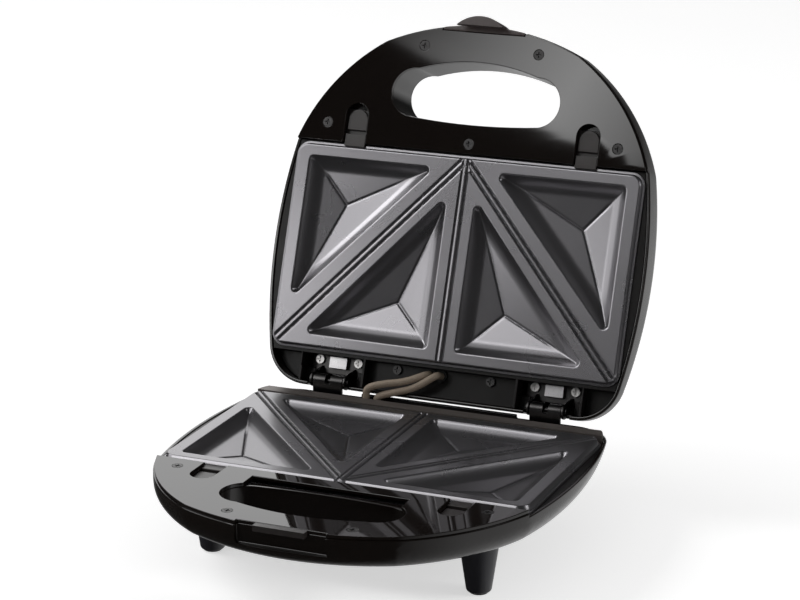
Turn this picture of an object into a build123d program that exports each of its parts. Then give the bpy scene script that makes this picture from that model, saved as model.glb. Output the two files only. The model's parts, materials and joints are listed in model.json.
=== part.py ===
"""Sandwich toaster for two slices, modelled standing open as a clamshell.

Millimetres, +Z up, the front towards -Y. The origin is on the table, under the middle of the open toaster.
Both halves are drawn on planes that lie parallel to their parting face: sketch x runs across the toaster,
sketch y is the distance ahead of the hinge axis, and depth runs from the parting face into the housing.
"""

import os
from math import atan2, cos, degrees, hypot, radians, sin, tan

from build123d import *

os.makedirs("parts", exist_ok=True)

# Stance
open_angle = 110.6
parting_height = 55
axis_rise = 4.7
hinge_y = 61.3

# Plan of each housing half
front_reach = 222.6
arch_x = 62
arch_y = 209.2
shoulder_x = 93.5
shoulder_y = 180.5
cheek_x = 112.8
cheek_y = 144
half_width = 118.5
waist_y = 98
rear_x = 107.5
rear_y = -4
rear_corner = 26
plan_centre = 105
reach = 300

# Depth of the housings
base_depth = 30
base_crown = 650
lid_depth = 42
lid_crown = 520
edge_round = 14
wall = 2.2
rim_drop = 4
fit_gap = 0.2

# Front panels
panel_rear = 145
panel_thick = 2.3
panel_inset = 0.8
slot_x = 74
slot_width = 14.5
slot_end = 169.3
side_screw_x = 92.8
side_screw_y = 156.3
front_screw_x = 36.5
front_screw_y = 207.7
mid_screw_y = 151
boss_radius = 3.6

# Handle opening
handle_x = 53.6
handle_side_y = 177.5
handle_front = 200.2
handle_front_x = 38
handle_front_y = 194
handle_rear = 162.4
handle_rear_x = 42
handle_rear_y = 164.6
notch_x = 47
notch_rear = 154.5
notch_drop = 4.7

# Cooking plates
plate_x = 109
plate_rear = 20
plate_front = 141.5
plate_corner = 6
parting_gap = 0.25
plate_thick = 2.5
skirt_drop = 3.4
skirt_slope = 20
flange_width = 2.4
flange_thick = 1.2
groove_width = 1.1
groove_depth = 0.9
ridge_width = 2.6
pocket_depth = 8.5
pocket_wall = 3.6
pocket_taper = 35
pocket_round = 5

# Corners of the pockets, and the point where each pocket's three slopes meet
outer_pocket = [(101.5, 134), (22.4, 133.8), (100.6, 46.5)]
outer_deep = (76, 107.5)
inner_pocket = [(10, 112.5), (87.9, 27.6), (8.7, 26.5)]
inner_deep = (34.3, 52)

# Plate frames
frame_thick = 2.4
frame_lip = 3.5
frame_front_gap = 0.2
strip_front = 8.9
trough_drop = 13
trough_front = 17
rib = 1.6
trough_rib_x = (49, 90)
frame_screw_rear = (30, 12)
frame_screw_front = (48, 141.6)
cover_rear = 8.5
cover_top = 0.3
cover_thick = 1
rear_wall_half = 50
rear_wall_drop = 1.7

# Heat trays and elements
tray_thick = 0.6
tray_drop = 15.5
tray_rim = 9
tray_margin = 6.6
tray_corner = 12
tray_screw_x = 50
tray_screw_y = (62, 100)
element_radius = 3.2
element_gap = 0.1
element_x = 92
element_rear = 40
element_front = 124
element_bend = 16
pin_radius = 1.2
pin_length = 12
insulator_radius = 3
insulator_length = 6

# Hinges
hinge_x = 69.75
leaf_width = 19.2
leaf_thick = 1.6
leaf_front = 15
knuckle_radius = 4
knuckle_gap = 3.3
hinge_pin_radius = 1.5
pin_fit = 0.05
pin_head_radius = 2.6
pin_head_thick = 0.9
ear_thick = 1.4
ear_gap = 0.5
ear_radius = 4.4
ear_root = (4.6, 9.4)
ear_rear = (-3.3, 2.9)
ear_front = (4.3, -1)
bracket_drop = 16.5
bracket_thick = 1.5
bracket_half = 18
bracket_rear = 4.6
bracket_front = 17.5
bracket_screw_x = 12.7
bracket_screw_y = 12.6
tongue_half = 5.8
tongue_rise = 3
tongue_reach = (8, 15)
leaf_screw_x = 5
leaf_screw_y = 11.4
hinge_cut = 14
hinge_cut_front = 7
hinge_cut_depth = 16
hinge_window = 20

# Plate clips
clip_width = 13.6
clip_side_gap = 0.35
clip_floor = 6.6
clip_slab = 1.5
clip_slab_half = 8.4
clip_fit = 0.1
clip_tip = 142.85
clip_rear = 145.4
clip_front = 166
clip_undercut = 1
clip_lift = 0.1
clip_nose = 1.4
clip_post = 150.5
pad_top = 2.8
pad_rear = 153
pad_centre = 159.4
pad_radius = 6.3
pad_split = 0.01
clip_travel = 2.5
clip_end_gap = 3
clip_box_wall = 1.5

# Latch and catch
recess_x = 26.4
recess_wall = 2
panel_recess = 218
catch_recess = 217.2
catch_recess_depth = 13
latch_recess = 213.6
latch_recess_depth = 15
latch_gap = 0.5
latch_pin_y = 217.4
latch_pin_drop = 10.5
latch_pin_radius = 1
barrel_radius = 2.7
barrel_gap = 7
latch_back = 218.2
latch_front = 222.1
latch_top = 13.2
grip_x = 16.4
grip_side = 219.5
grip_front = 227
grip_reach = 8
grip_top = 9
grip_round = 1.5
catch_x = 15
catch_top = 0.5
catch_bottom = 3.8
catch_front = 221.8
hook_thick = 1.7
hook_reach = 1.6
leaf_spring_half = 4.5
leaf_spring_thick = 0.4
leaf_spring_start = 4
leaf_spring_bend = 9.5
leaf_spring_tip = 12.9

# Feet
front_foot = (81, 138)
rear_foot = (58, 14)
foot_top = 13.2
foot_bottom = 6.9
foot_root = 12
foot_edge = 2
foot_screw_drop = 40
foot_screw_top = 16.4
foot_boss_top = 15.2
foot_pad_radius = 5
foot_pad_thick = 2
foot_pad_stand = 0.8

# Screws
screw_head = 3
screw_head_thick = 1.5
screw_shank = 1.45
screw_length = 8
tray_screw_length = 7
leaf_screw_length = 4.2
screw_clear = 0.1
pan_head = 2.7
pan_thick = 1.7
cross_width = 0.8
cross_span = 3.4
cross_depth = 1

# Lead between the halves
strand_radius = 2.2
bush_wall = 1.4
bush_stand = 1.5

# Lamps
lamp_x = 14
lamp_y = 135
lens_radius = 5
lens_collar = 6.4
lens_bottom = 33
lens_stand = 1.2
lens_bore = 3
lens_skin = 2
lens_edge = 1
lamp_radius = 2.5
lamp_bottom = 30
lamp_length = 9
holder_thick = 2
holder_margin = 3

# Controls under the base's heat tray
thermostat_radius = 8
thermostat_height = 6
thermostat_y = 81
fuse_radius = 2.5
fuse_length = 16
fuse_x = 34
fuse_y = 81

# Inlet for the mains lead
inlet_x = 25
inlet_drop = 12
inlet_radius = 5.5
inlet_bore = 3.4
inlet_flange = 7.5
inlet_rear = -6.5
inlet_front = 5

frame_top = skirt_drop + flange_thick
clip_box_end = clip_front + clip_travel + clip_end_gap
plate_middle = (plate_front + plate_rear) / 2
plate_length = plate_front - plate_rear
foot_places = [(side * x, y) for side in (-1, 1) for x, y in (rear_foot, front_foot)]
tray_screws = [(x, y) for x in (-tray_screw_x, tray_screw_x) for y in tray_screw_y]
rear_frame_screws = [(side * frame_screw_rear[0], frame_screw_rear[1]) for side in (-1, 1)]
front_frame_screws = [(side * frame_screw_front[0], frame_screw_front[1]) for side in (-1, 1)]
panel_screws = [(-side_screw_x, side_screw_y), (side_screw_x, side_screw_y)]
panel_screws += [(-front_screw_x, front_screw_y), (front_screw_x, front_screw_y)]
hinge_places = (-hinge_x, hinge_x)
bracket_screws = [(x + side * bracket_screw_x, bracket_screw_y) for x in hinge_places for side in (-1, 1)]
leaf_screws = [(x + side * leaf_screw_x, leaf_screw_y) for x in hinge_places for side in (-1, 1)]


def base_face(depth=0):
    """Plane in the base: x to the right, y to the front, depth downwards."""
    origin = (0, hinge_y, parting_height - depth)
    return Plane(origin=origin, x_dir=(1, 0, 0), z_dir=(0, 0, -1))


def lid_face(depth=0):
    """The same plane in the lid, turned about the hinge axis with it."""
    lean = radians(open_angle)
    height = depth - axis_rise
    y = hinge_y + height * sin(lean)
    z = parting_height + axis_rise + height * cos(lean)
    return Plane(origin=(0, y, z), x_dir=(-1, 0, 0), z_dir=(0, sin(lean), cos(lean)))


def base_side(x):
    """Plane across the base at x: sketch x ahead of the hinge axis, sketch y above it, facing left."""
    origin = (x, hinge_y, parting_height + axis_rise)
    return Plane(origin=origin, x_dir=(0, -1, 0), z_dir=(-1, 0, 0))


def lid_side(x):
    """The same plane turned with the lid, so that sketch y is the height with the lid closed."""
    lean = radians(open_angle)
    origin = (x, hinge_y, parting_height + axis_rise)
    return Plane(origin=origin, x_dir=(0, -cos(lean), sin(lean)), z_dir=(-1, 0, 0))


def write_piece(piece, name):
    """Labels a finished piece and writes it to its own file."""
    piece.part.label = name
    export_step(piece.part, f"parts/{name}.step")


def rectangle_between(x_from, x_to, y_from, y_to):
    """Rectangle given by its sides."""
    with Locations(((x_from + x_to) / 2, (y_from + y_to) / 2)):
        Rectangle(x_to - x_from, y_to - y_from)


def housing_outline(inset=0):
    """Plan of a half: arched front, bowed sides and a straight rear with rounded corners."""
    with BuildSketch(mode=Mode.PRIVATE) as plan:
        with BuildLine():
            ThreePointArc((-arch_x, arch_y), (0, front_reach), (arch_x, arch_y))
            ThreePointArc((arch_x, arch_y), (shoulder_x, shoulder_y), (cheek_x, cheek_y))
            ThreePointArc((cheek_x, cheek_y), (half_width, waist_y), (rear_x, rear_y))
            Line((rear_x, rear_y), (-rear_x, rear_y))
            ThreePointArc((-rear_x, rear_y), (-half_width, waist_y), (-cheek_x, cheek_y))
            ThreePointArc((-cheek_x, cheek_y), (-shoulder_x, shoulder_y), (-arch_x, arch_y))
        make_face()
        fillet(plan.vertices().group_by(Axis.Y)[0], rear_corner)
        if inset:
            offset(amount=-inset, kind=Kind.INTERSECTION)
    return plan.sketch_local


def handle_outline(grow=0):
    """Handle opening: nearly straight at the rear, arched at the front, with round ends."""
    front_left = (-handle_front_x, handle_front_y)
    front_right = (handle_front_x, handle_front_y)
    rear_left = (-handle_rear_x, handle_rear_y)
    rear_right = (handle_rear_x, handle_rear_y)
    with BuildSketch(mode=Mode.PRIVATE) as opening:
        with BuildLine():
            ThreePointArc(front_left, (0, handle_front), front_right)
            ThreePointArc(front_right, (handle_x, handle_side_y), rear_right)
            ThreePointArc(rear_right, (0, handle_rear), rear_left)
            ThreePointArc(rear_left, (-handle_x, handle_side_y), front_left)
        make_face()
        if grow:
            offset(amount=grow)
    return opening.sketch_local


def housing_form(face, depth, crown, inset=0):
    """Solid form of a half, a crowned dish with a large round edge, drawn in by the inset."""
    with BuildPart() as form:
        with BuildSketch(face()):
            add(housing_outline(inset))
        extrude(amount=depth)
        level = face(depth - crown)
        middle = level.from_local_coords(Vector(0, plan_centre, 0))
        with Locations(Plane(middle, x_dir=-level.z_dir, z_dir=level.x_dir)):
            Sphere(crown - inset, mode=Mode.INTERSECT)
        fillet(form.faces().filter_by(GeomType.SPHERE).edges(), edge_round - inset)
    return form.part


def raise_from(face, depth, outline, amount=reach, mode=Mode.ADD):
    """Extrudes an outline from a depth into the housing."""
    with BuildSketch(face(depth)) as layer:
        add(outline)
    extrude(layer.sketch, amount=amount, mode=mode)


def circles(places, radius):
    """A circle at each place."""
    with BuildSketch(mode=Mode.PRIVATE) as rounds:
        with Locations(*places):
            Circle(radius)
    return rounds.sketch_local


def block(x_from, x_to, y_from, y_to):
    """Rectangle given by its sides, as a sketch to extrude."""
    with BuildSketch(mode=Mode.PRIVATE) as shape:
        rectangle_between(x_from, x_to, y_from, y_to)
    return shape.sketch_local


def clip_slots():
    """Openings over the plate clips, open towards the plate and round at the front."""
    round_y = slot_end - slot_width / 2
    with BuildSketch(mode=Mode.PRIVATE) as slots:
        with Locations((-slot_x, round_y), (slot_x, round_y)):
            Circle(slot_width / 2)
        for x in (-slot_x, slot_x):
            rectangle_between(x - slot_width / 2, x + slot_width / 2, panel_rear - reach, round_y)
    return slots.sketch_local


def make_shell(face, form, depth, crown, screws, recess, recess_depth, lower_pieces):
    """Housing half: a thin wall inside the form, with the handle's tube, bosses, clip boxes and recess."""
    recess_outline = block(-recess_x, recess_x, recess, reach)
    recess_outer = block(-recess_x - recess_wall, recess_x + recess_wall, recess - recess_wall, reach)
    half_box = clip_slab_half + clip_side_gap
    with BuildPart() as hollow:
        add(housing_form(face, depth, crown, wall))
        raise_from(face, 0, handle_outline(wall), mode=Mode.SUBTRACT)
        raise_from(face, 0, circles(screws, boss_radius), mode=Mode.SUBTRACT)
        raise_from(face, 0, recess_outer, recess_depth + recess_wall, Mode.SUBTRACT)
        for x in (-slot_x, slot_x):
            side = half_box + clip_box_wall
            outer = block(x - side, x + side, clip_rear, clip_box_end + clip_box_wall)
            raise_from(face, 0, outer, mode=Mode.SUBTRACT)
        for outline, top in lower_pieces:
            raise_from(face, top, outline, mode=Mode.SUBTRACT)
    with BuildPart() as shell:
        add(form)
        add(hollow.part, mode=Mode.SUBTRACT)
        raise_from(face, 0, block(-reach, reach, -reach, panel_rear), rim_drop, Mode.SUBTRACT)
        raise_from(face, 0, block(-reach, reach, panel_rear, reach), panel_thick, Mode.SUBTRACT)
        raise_from(face, 0, handle_outline(), mode=Mode.SUBTRACT)
        raise_from(face, 0, recess_outline, recess_depth, Mode.SUBTRACT)
        screw_bore = screw_shank + screw_clear
        raise_from(face, 0, circles(screws, screw_bore), panel_thick + screw_length, Mode.SUBTRACT)
        rear_bore = trough_drop + screw_length
        raise_from(face, 0, circles(rear_frame_screws, screw_bore), rear_bore, Mode.SUBTRACT)
        front_bore = frame_top + screw_length + rib
        raise_from(face, 0, circles(front_frame_screws, screw_bore), front_bore, Mode.SUBTRACT)
        raise_from(face, 0, circles(tray_screws, screw_bore), tray_drop + screw_length, Mode.SUBTRACT)
        for x in (-slot_x, slot_x):
            neck = clip_width / 2 + clip_side_gap
            inner = block(x - neck, x + neck, clip_rear - clip_undercut, clip_box_end)
            raise_from(face, 0, inner, clip_floor, Mode.SUBTRACT)
            track = block(x - half_box, x + half_box, clip_rear - clip_undercut, clip_box_end)
            track_top = clip_floor - clip_slab - 2 * clip_fit
            raise_from(face, track_top, track, clip_floor - track_top, Mode.SUBTRACT)
    return shell


def make_panel(face, screws, recess, notched):
    """Front panel: a flat cover over the handle with slots for the clips and a cut for the latch."""
    thick = panel_thick - parting_gap
    with BuildPart() as panel:
        with BuildSketch(face(parting_gap)):
            add(housing_outline(panel_inset))
            add(block(-reach, reach, -reach, panel_rear), mode=Mode.SUBTRACT)
            add(handle_outline(), mode=Mode.SUBTRACT)
            if notched:
                add(block(-notch_x, notch_x, notch_rear, handle_side_y), mode=Mode.SUBTRACT)
            add(clip_slots(), mode=Mode.SUBTRACT)
            add(block(-recess_x, recess_x, recess, reach), mode=Mode.SUBTRACT)
        extrude(amount=thick)
        heads = circles(screws, screw_head + screw_clear)
        raise_from(face, 0, heads, parting_gap + screw_head_thick, Mode.SUBTRACT)
        raise_from(face, 0, circles(screws, screw_shank + screw_clear), mode=Mode.SUBTRACT)
    return panel


def drive_screws(face, places, head_top, head, head_thick, length):
    """Cross-head screws driven straight into the housing, their heads starting at the given depth."""
    with BuildPart() as screws:
        raise_from(face, head_top, circles(places, head), head_thick)
        raise_from(face, head_top + head_thick, circles(places, screw_shank), length)
        with BuildSketch(face(head_top)):
            with Locations(*places):
                Rectangle(cross_span, cross_width)
                Rectangle(cross_width, cross_span)
        extrude(amount=cross_depth, mode=Mode.SUBTRACT)
    return screws


def pocket_outline(corners, grow):
    """Triangle with rounded corners, moved outwards by the growth."""
    with BuildSketch(mode=Mode.PRIVATE) as triangle:
        with BuildLine():
            Polyline(*corners, close=True)
        make_face()
        offset(amount=grow, kind=Kind.INTERSECTION)
        fillet(triangle.vertices(), pocket_round + grow)
    return triangle.sketch_local


def pocket_form(face, corners, deep, grow=0):
    """A pocket's space: steep walls down to three slopes that meet at its deepest point."""
    shoulder = parting_gap + pocket_wall + grow
    drawn_in = pocket_wall * tan(radians(pocket_taper))
    bottom = face(parting_gap + pocket_depth + grow).from_local_coords(Vector(deep[0], deep[1], 0))
    with BuildPart() as form:
        with BuildSketch(face(parting_gap)):
            add(pocket_outline(corners, grow))
        with BuildSketch(face(shoulder)) as foot:
            add(pocket_outline(corners, grow - drawn_in))
        loft(ruled=True)
        loft(sections=[foot.sketch.face(), Vertex(*bottom)], ruled=True)
    return form.part


def plate_outline(grow=0):
    """Plan of the cooking plate's flat face, moved outwards by the growth."""
    with BuildSketch(mode=Mode.PRIVATE) as plan:
        with Locations((0, plate_middle)):
            RectangleRounded(2 * (plate_x + grow), plate_length + 2 * grow, plate_corner + grow)
    return plan.sketch_local


def make_plate(face):
    """Cooking plate: four triangular pockets, sealing ridges, a sloping skirt and a thin flange."""
    pockets = []
    for side in (-1, 1):
        for corners, deep in ((outer_pocket, outer_deep), (inner_pocket, inner_deep)):
            pockets.append(([(side * x, y) for x, y in corners], (side * deep[0], deep[1])))
    groove_step = (ridge_width + groove_width) / 2
    with BuildPart() as plate:
        with BuildSketch(face(parting_gap)):
            add(plate_outline())
        extrude(amount=skirt_drop - parting_gap, taper=-skirt_slope)
        raise_from(face, skirt_drop, plate_outline(flange_width), flange_thick)
        raise_from(face, parting_gap + plate_thick, plate_outline(-rib), reach, Mode.SUBTRACT)
        for corners, deep in pockets:
            add(pocket_form(face, corners, deep, plate_thick))
        for corners, deep in pockets:
            add(pocket_form(face, corners, deep), mode=Mode.SUBTRACT)
        with BuildSketch(face(parting_gap)):
            for end_x in (-plate_x, 0, plate_x):
                run = hypot(end_x, plate_length)
                turn = degrees(atan2(-plate_length, end_x))
                with Locations(Location((end_x / 2, plate_middle, 0), turn)):
                    with Locations((0, -groove_step), (0, groove_step)):
                        Rectangle(run, groove_width)
        extrude(amount=groove_depth, mode=Mode.SUBTRACT)
    return plate


def make_frame(face, inside, floor_rear, window):
    """Plate frame: a ring under the plate's flange, with a trough along the hinge side."""
    front = panel_rear - frame_front_gap
    with BuildPart() as frame:
        raise_from(face, frame_top, block(-reach, reach, trough_front - rib, front), frame_thick)
        trough = block(-reach, reach, trough_front - rib, trough_front)
        raise_from(face, frame_top, trough, trough_drop + rib - frame_top)
        raise_from(face, trough_drop, block(-reach, reach, floor_rear, trough_front), rib)
        if floor_rear > 0:
            raise_from(face, rim_drop, block(-reach, reach, -reach, strip_front), frame_thick)
            step = block(-reach, reach, strip_front - rib, strip_front)
            raise_from(face, rim_drop, step, trough_drop + rib - rim_drop)
        else:
            for x in trough_rib_x:
                for side in (-x, x):
                    rib_outline = block(side - rib / 2, side + rib / 2, -reach, trough_front)
                    raise_from(face, frame_top, rib_outline, trough_drop - frame_top)
        add(inside, mode=Mode.INTERSECT)
        raise_from(face, 0, plate_outline(-frame_lip), mode=Mode.SUBTRACT)
        for x in hinge_places:
            cut = block(x - hinge_cut, x + hinge_cut, -reach, window[0])
            raise_from(face, 0, cut, window[1], Mode.SUBTRACT)
            if floor_rear < 0:
                opening = block(x - hinge_window, x + hinge_window, hinge_cut_front, trough_front - rib)
                raise_from(face, 0, opening, reach, Mode.SUBTRACT)
        heads = circles(front_frame_screws, screw_head + screw_clear)
        raise_from(face, 0, heads, frame_top + screw_head_thick, Mode.SUBTRACT)
        screws = circles(rear_frame_screws + front_frame_screws, screw_shank + screw_clear)
        raise_from(face, 0, screws, mode=Mode.SUBTRACT)
    return frame


def make_tray(face):
    """Heat tray: a shallow pan of thin sheet under the element, with notches for its end insulators."""
    half_x = element_x + tray_margin
    rear = element_rear - tray_margin
    front = element_front + tray_margin
    with BuildSketch(mode=Mode.PRIVATE) as plan:
        with Locations((0, (rear + front) / 2)):
            RectangleRounded(2 * half_x, front - rear, tray_corner)
    outer = plan.sketch_local
    with BuildSketch(mode=Mode.PRIVATE) as plan_inside:
        add(outer)
        offset(amount=-tray_thick)
    with BuildPart() as tray:
        raise_from(face, tray_rim, outer, tray_drop + tray_thick - tray_rim)
        raise_from(face, tray_rim, plan_inside.sketch_local, tray_drop - tray_rim, Mode.SUBTRACT)
        for x in (-element_x, element_x):
            slot = block(x - insulator_radius, x + insulator_radius, rear - tray_thick, rear + tray_corner)
            raise_from(face, 0, slot, tray_drop, Mode.SUBTRACT)
        raise_from(face, 0, circles(tray_screws, screw_shank + screw_clear), mode=Mode.SUBTRACT)
    return tray


def cross_plane(face, x, y, depth):
    """Plane across a half at y, looking towards the hinge."""
    level = face(depth)
    return Plane(level.from_local_coords(Vector(x, y, 0)), x_dir=level.x_dir, z_dir=-level.y_dir)


def make_element(face):
    """Tubular heating element bent into a U, with a thin pin at each cold end."""
    drop = tray_drop - element_gap - element_radius
    left, right = -element_x, element_x
    with BuildPart() as element:
        with BuildLine(face(drop)) as path:
            FilletPolyline(
                (left, element_rear), (left, element_front), (right, element_front), (right, element_rear),
                radius=element_bend,
            )
        with BuildSketch(Plane(path.line @ 0, z_dir=path.line % 0)):
            Circle(element_radius)
        sweep()
        for x in (left, right):
            with BuildSketch(cross_plane(face, x, element_rear, drop)):
                Circle(pin_radius)
            extrude(amount=pin_length)
    return element


def make_insulators(face):
    """Ceramic sleeves around the element's pins, lying in the notches of the tray."""
    drop = tray_drop - element_gap - element_radius
    front = element_rear - tray_margin + insulator_length / 2
    with BuildPart() as sleeves:
        for x in (-element_x, element_x):
            with BuildSketch(cross_plane(face, x, front, drop)):
                Circle(insulator_radius)
                Circle(pin_radius, mode=Mode.SUBTRACT)
            extrude(amount=insulator_length)
    return sleeves


def make_clip(face, x):
    """Plate clip: a slide with a thumb pad, and a nose that holds the plate's flange."""
    half = clip_width / 2
    bottom = clip_floor - clip_fit
    slab_top = bottom - clip_slab
    nose_bottom = skirt_drop - clip_lift
    slab = block(x - clip_slab_half, x + clip_slab_half, clip_rear, clip_front)
    with BuildPart() as clip:
        raise_from(face, slab_top, slab, clip_slab)
        post = block(x - half, x + half, clip_rear, clip_post)
        raise_from(face, nose_bottom - clip_nose, post, slab_top - nose_bottom + clip_nose)
        nose = block(x - half, x + half, clip_tip, clip_post)
        raise_from(face, nose_bottom - clip_nose, nose, clip_nose)
        with BuildSketch(mode=Mode.PRIVATE) as pad:
            with Locations((x, pad_centre)):
                Circle(pad_radius)
            rectangle_between(x - pad_radius, x + pad_radius, pad_rear, pad_centre)
            with Locations((x, pad_rear)):
                Rectangle(reach, pad_split, mode=Mode.SUBTRACT)
        raise_from(face, pad_top, pad.sketch_local, slab_top - pad_top)
    return clip


def make_leaf(x):
    """Base leaf of a hinge: two knuckles on a web that stands on a screwed foot."""
    foot = -axis_rise - trough_drop
    web_rear = knuckle_radius - leaf_thick
    with BuildPart() as leaf:
        with BuildSketch(base_side(x + leaf_width / 2)) as section:
            Circle(knuckle_radius)
            rectangle_between(web_rear, knuckle_radius, foot, 0)
            rectangle_between(web_rear, leaf_front, foot, foot + leaf_thick)
        extrude(section.sketch, amount=leaf_width)
        with BuildSketch(base_side(x + knuckle_gap / 2)) as gap:
            Circle(knuckle_radius + screw_clear)
        extrude(gap.sketch, amount=knuckle_gap, mode=Mode.SUBTRACT)
        with BuildSketch(base_side(x + leaf_width / 2)) as bore:
            Circle(hinge_pin_radius + pin_fit)
        extrude(bore.sketch, amount=leaf_width, mode=Mode.SUBTRACT)
        holes = [(x - leaf_screw_x, leaf_screw_y), (x + leaf_screw_x, leaf_screw_y)]
        bores = circles(holes, screw_shank + screw_clear)
        raise_from(base_face, trough_drop - leaf_thick, bores, leaf_thick, Mode.SUBTRACT)
    return leaf


def make_bracket(x):
    """Lid bracket of a hinge: a screwed plate with two ears on the pin and a raised tongue between them."""
    top = bracket_drop - axis_rise + bracket_thick
    inner = leaf_width / 2 + ear_gap
    holes = [(-x - bracket_screw_x, bracket_screw_y), (-x + bracket_screw_x, bracket_screw_y)]
    with BuildPart() as bracket:
        plate = block(-x - bracket_half, -x + bracket_half, bracket_rear, bracket_front)
        raise_from(lid_face, bracket_drop, plate, bracket_thick)
        for side in (x - inner, x + inner + ear_thick):
            with BuildSketch(lid_side(side)) as ear:
                Circle(ear_radius)
                with BuildLine():
                    Polyline(ear_rear, (ear_root[0], top), (ear_root[1], top), ear_front, close=True)
                make_face()
            extrude(ear.sketch, amount=ear_thick)
        tongue = block(-x - tongue_half, -x + tongue_half, *tongue_reach)
        under = tongue_half - bracket_thick
        raise_from(lid_face, bracket_drop - tongue_rise, tongue, tongue_rise)
        hollow = block(-x - under, -x + under, *tongue_reach)
        raise_from(lid_face, bracket_drop - tongue_rise + bracket_thick, hollow, tongue_rise, Mode.SUBTRACT)
        with BuildSketch(base_side(x + reach / 2)) as bore:
            Circle(hinge_pin_radius + pin_fit)
        extrude(bore.sketch, amount=reach, mode=Mode.SUBTRACT)
        raise_from(lid_face, 0, circles(holes, screw_shank + screw_clear), mode=Mode.SUBTRACT)
    return bracket


def make_hinge_pins():
    """Hinge pins with a formed head at each end."""
    span = leaf_width / 2 + ear_gap + ear_thick + pin_fit
    with BuildPart() as pins:
        for x in hinge_places:
            with BuildSketch(base_side(x + span)) as rod:
                Circle(hinge_pin_radius)
            extrude(rod.sketch, amount=2 * span)
            for head in (x + span + pin_head_thick, x - span):
                with BuildSketch(base_side(head)) as cap:
                    Circle(pin_head_radius)
                extrude(cap.sketch, amount=pin_head_thick)
    return pins


def make_foot(x, y):
    """Moulded foot: a tapering stub under the shell with a recess for its screw and its pad."""
    end = parting_height - foot_pad_stand
    with BuildPart() as foot:
        with BuildSketch(base_face(foot_root)) as root:
            with Locations((x, y)):
                Circle(foot_top)
        with BuildSketch(base_face(end)) as tip:
            with Locations((x, y)):
                Circle(foot_bottom)
        loft(sections=[root.sketch.face(), tip.sketch.face()], ruled=True)
        fillet(foot.edges().sort_by(Axis.Z)[0], foot_edge)
        add(base_form, mode=Mode.SUBTRACT)
        pad_top = parting_height - foot_pad_thick
        raise_from(base_face, pad_top, circles([(x, y)], foot_pad_radius), mode=Mode.SUBTRACT)
        head = circles([(x, y)], screw_head + screw_clear)
        raise_from(base_face, foot_screw_drop, head, mode=Mode.SUBTRACT)
        raise_from(base_face, 0, circles([(x, y)], screw_shank + screw_clear), mode=Mode.SUBTRACT)
    return foot


def make_strand(route):
    """One sleeved strand along straight runs and the widest arcs between them."""
    points = [base_side(0).from_local_coords(Vector(ahead, up, -x)) for x, ahead, up in route]
    radii = []
    for before, here, after in zip(points, points[1:], points[2:]):
        run_in, run_out = here - before, after - here
        half_turn = radians(run_in.get_angle(run_out)) / 2
        radii.append(0.45 * min(run_in.length, run_out.length) / tan(half_turn))
    print("joining lead, arc radii", [round(radius, 1) for radius in radii])
    with BuildPart() as strand:
        with BuildLine() as path:
            FilletPolyline(*points, radius=radii)
        with BuildSketch(Plane(path.line @ 0, z_dir=path.line % 0)):
            Circle(strand_radius)
        sweep()
    length = sum(edge.length for edge in path.edges())
    print("joining lead, length", round(length, 1), "section", round(strand.part.volume / length, 2))
    return strand.part


base_form = housing_form(base_face, base_depth, base_crown)
lid_form = housing_form(lid_face, lid_depth, lid_crown)
base_inside = housing_form(base_face, base_depth, base_crown, wall + fit_gap)
lid_inside = housing_form(lid_face, lid_depth, lid_crown, wall + fit_gap)
lid_hollow = housing_form(lid_face, lid_depth, lid_crown, wall)

# Base housing: its bosses carry the tray, the frame and the feet
ledge = block(-notch_x - wall, notch_x + wall, notch_rear - wall, handle_side_y)
inner_pieces = [
    (circles(tray_screws, boss_radius), tray_drop + tray_thick),
    (circles(rear_frame_screws, boss_radius), trough_drop + rib),
    (circles(front_frame_screws, boss_radius), frame_top + frame_thick),
]
base_pieces = [(circles(foot_places, boss_radius), foot_boss_top), (ledge, notch_drop)]
base_shell = make_shell(
    base_face, base_form, base_depth, base_crown, panel_screws, catch_recess, catch_recess_depth,
    inner_pieces + base_pieces,
)
with base_shell:
    foot_bores = circles(foot_places, screw_shank + screw_clear)
    raise_from(base_face, foot_screw_top, foot_bores, mode=Mode.SUBTRACT)
    with BuildSketch(cross_plane(base_face, inlet_x, inlet_front, inlet_drop)) as inlet_hole:
        Circle(inlet_radius)
    extrude(inlet_hole.sketch, amount=inlet_front - rear_y, mode=Mode.SUBTRACT)
    rear_wall = block(-rear_wall_half, rear_wall_half, rear_y, rear_y + wall)
    raise_from(base_face, rear_wall_drop, rear_wall, rim_drop - rear_wall_drop)
write_piece(base_shell, "base_shell")

# Lid housing: an opening in its rear wall lets the hinges through
lid_screws = panel_screws + [(0, mid_screw_y)]
bracket_bosses = (circles(bracket_screws, boss_radius), bracket_drop + bracket_thick)
lid_shell = make_shell(
    lid_face, lid_form, lid_depth, lid_crown, lid_screws, latch_recess, latch_recess_depth,
    inner_pieces + [bracket_bosses],
)
latch_pin_end = recess_x + recess_wall
with lid_shell:
    for x in hinge_places:
        way = block(x - hinge_cut, x + hinge_cut, -reach, 0)
        raise_from(lid_face, 0, way, hinge_cut_depth, Mode.SUBTRACT)
    bracket_bores = circles(bracket_screws, screw_shank + screw_clear)
    raise_from(lid_face, bracket_drop, bracket_bores, screw_length, Mode.SUBTRACT)
    lamp_places = [(-lamp_x, lamp_y), (lamp_x, lamp_y)]
    raise_from(lid_face, lens_bottom, circles(lamp_places, lens_radius + fit_gap / 2), mode=Mode.SUBTRACT)
    with BuildSketch(lid_side(latch_pin_end)) as pin_hole:
        with Locations((latch_pin_y, latch_pin_drop - axis_rise)):
            Circle(latch_pin_radius + pin_fit)
    extrude(pin_hole.sketch, amount=2 * latch_pin_end, mode=Mode.SUBTRACT)
write_piece(lid_shell, "lid_shell")

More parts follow.
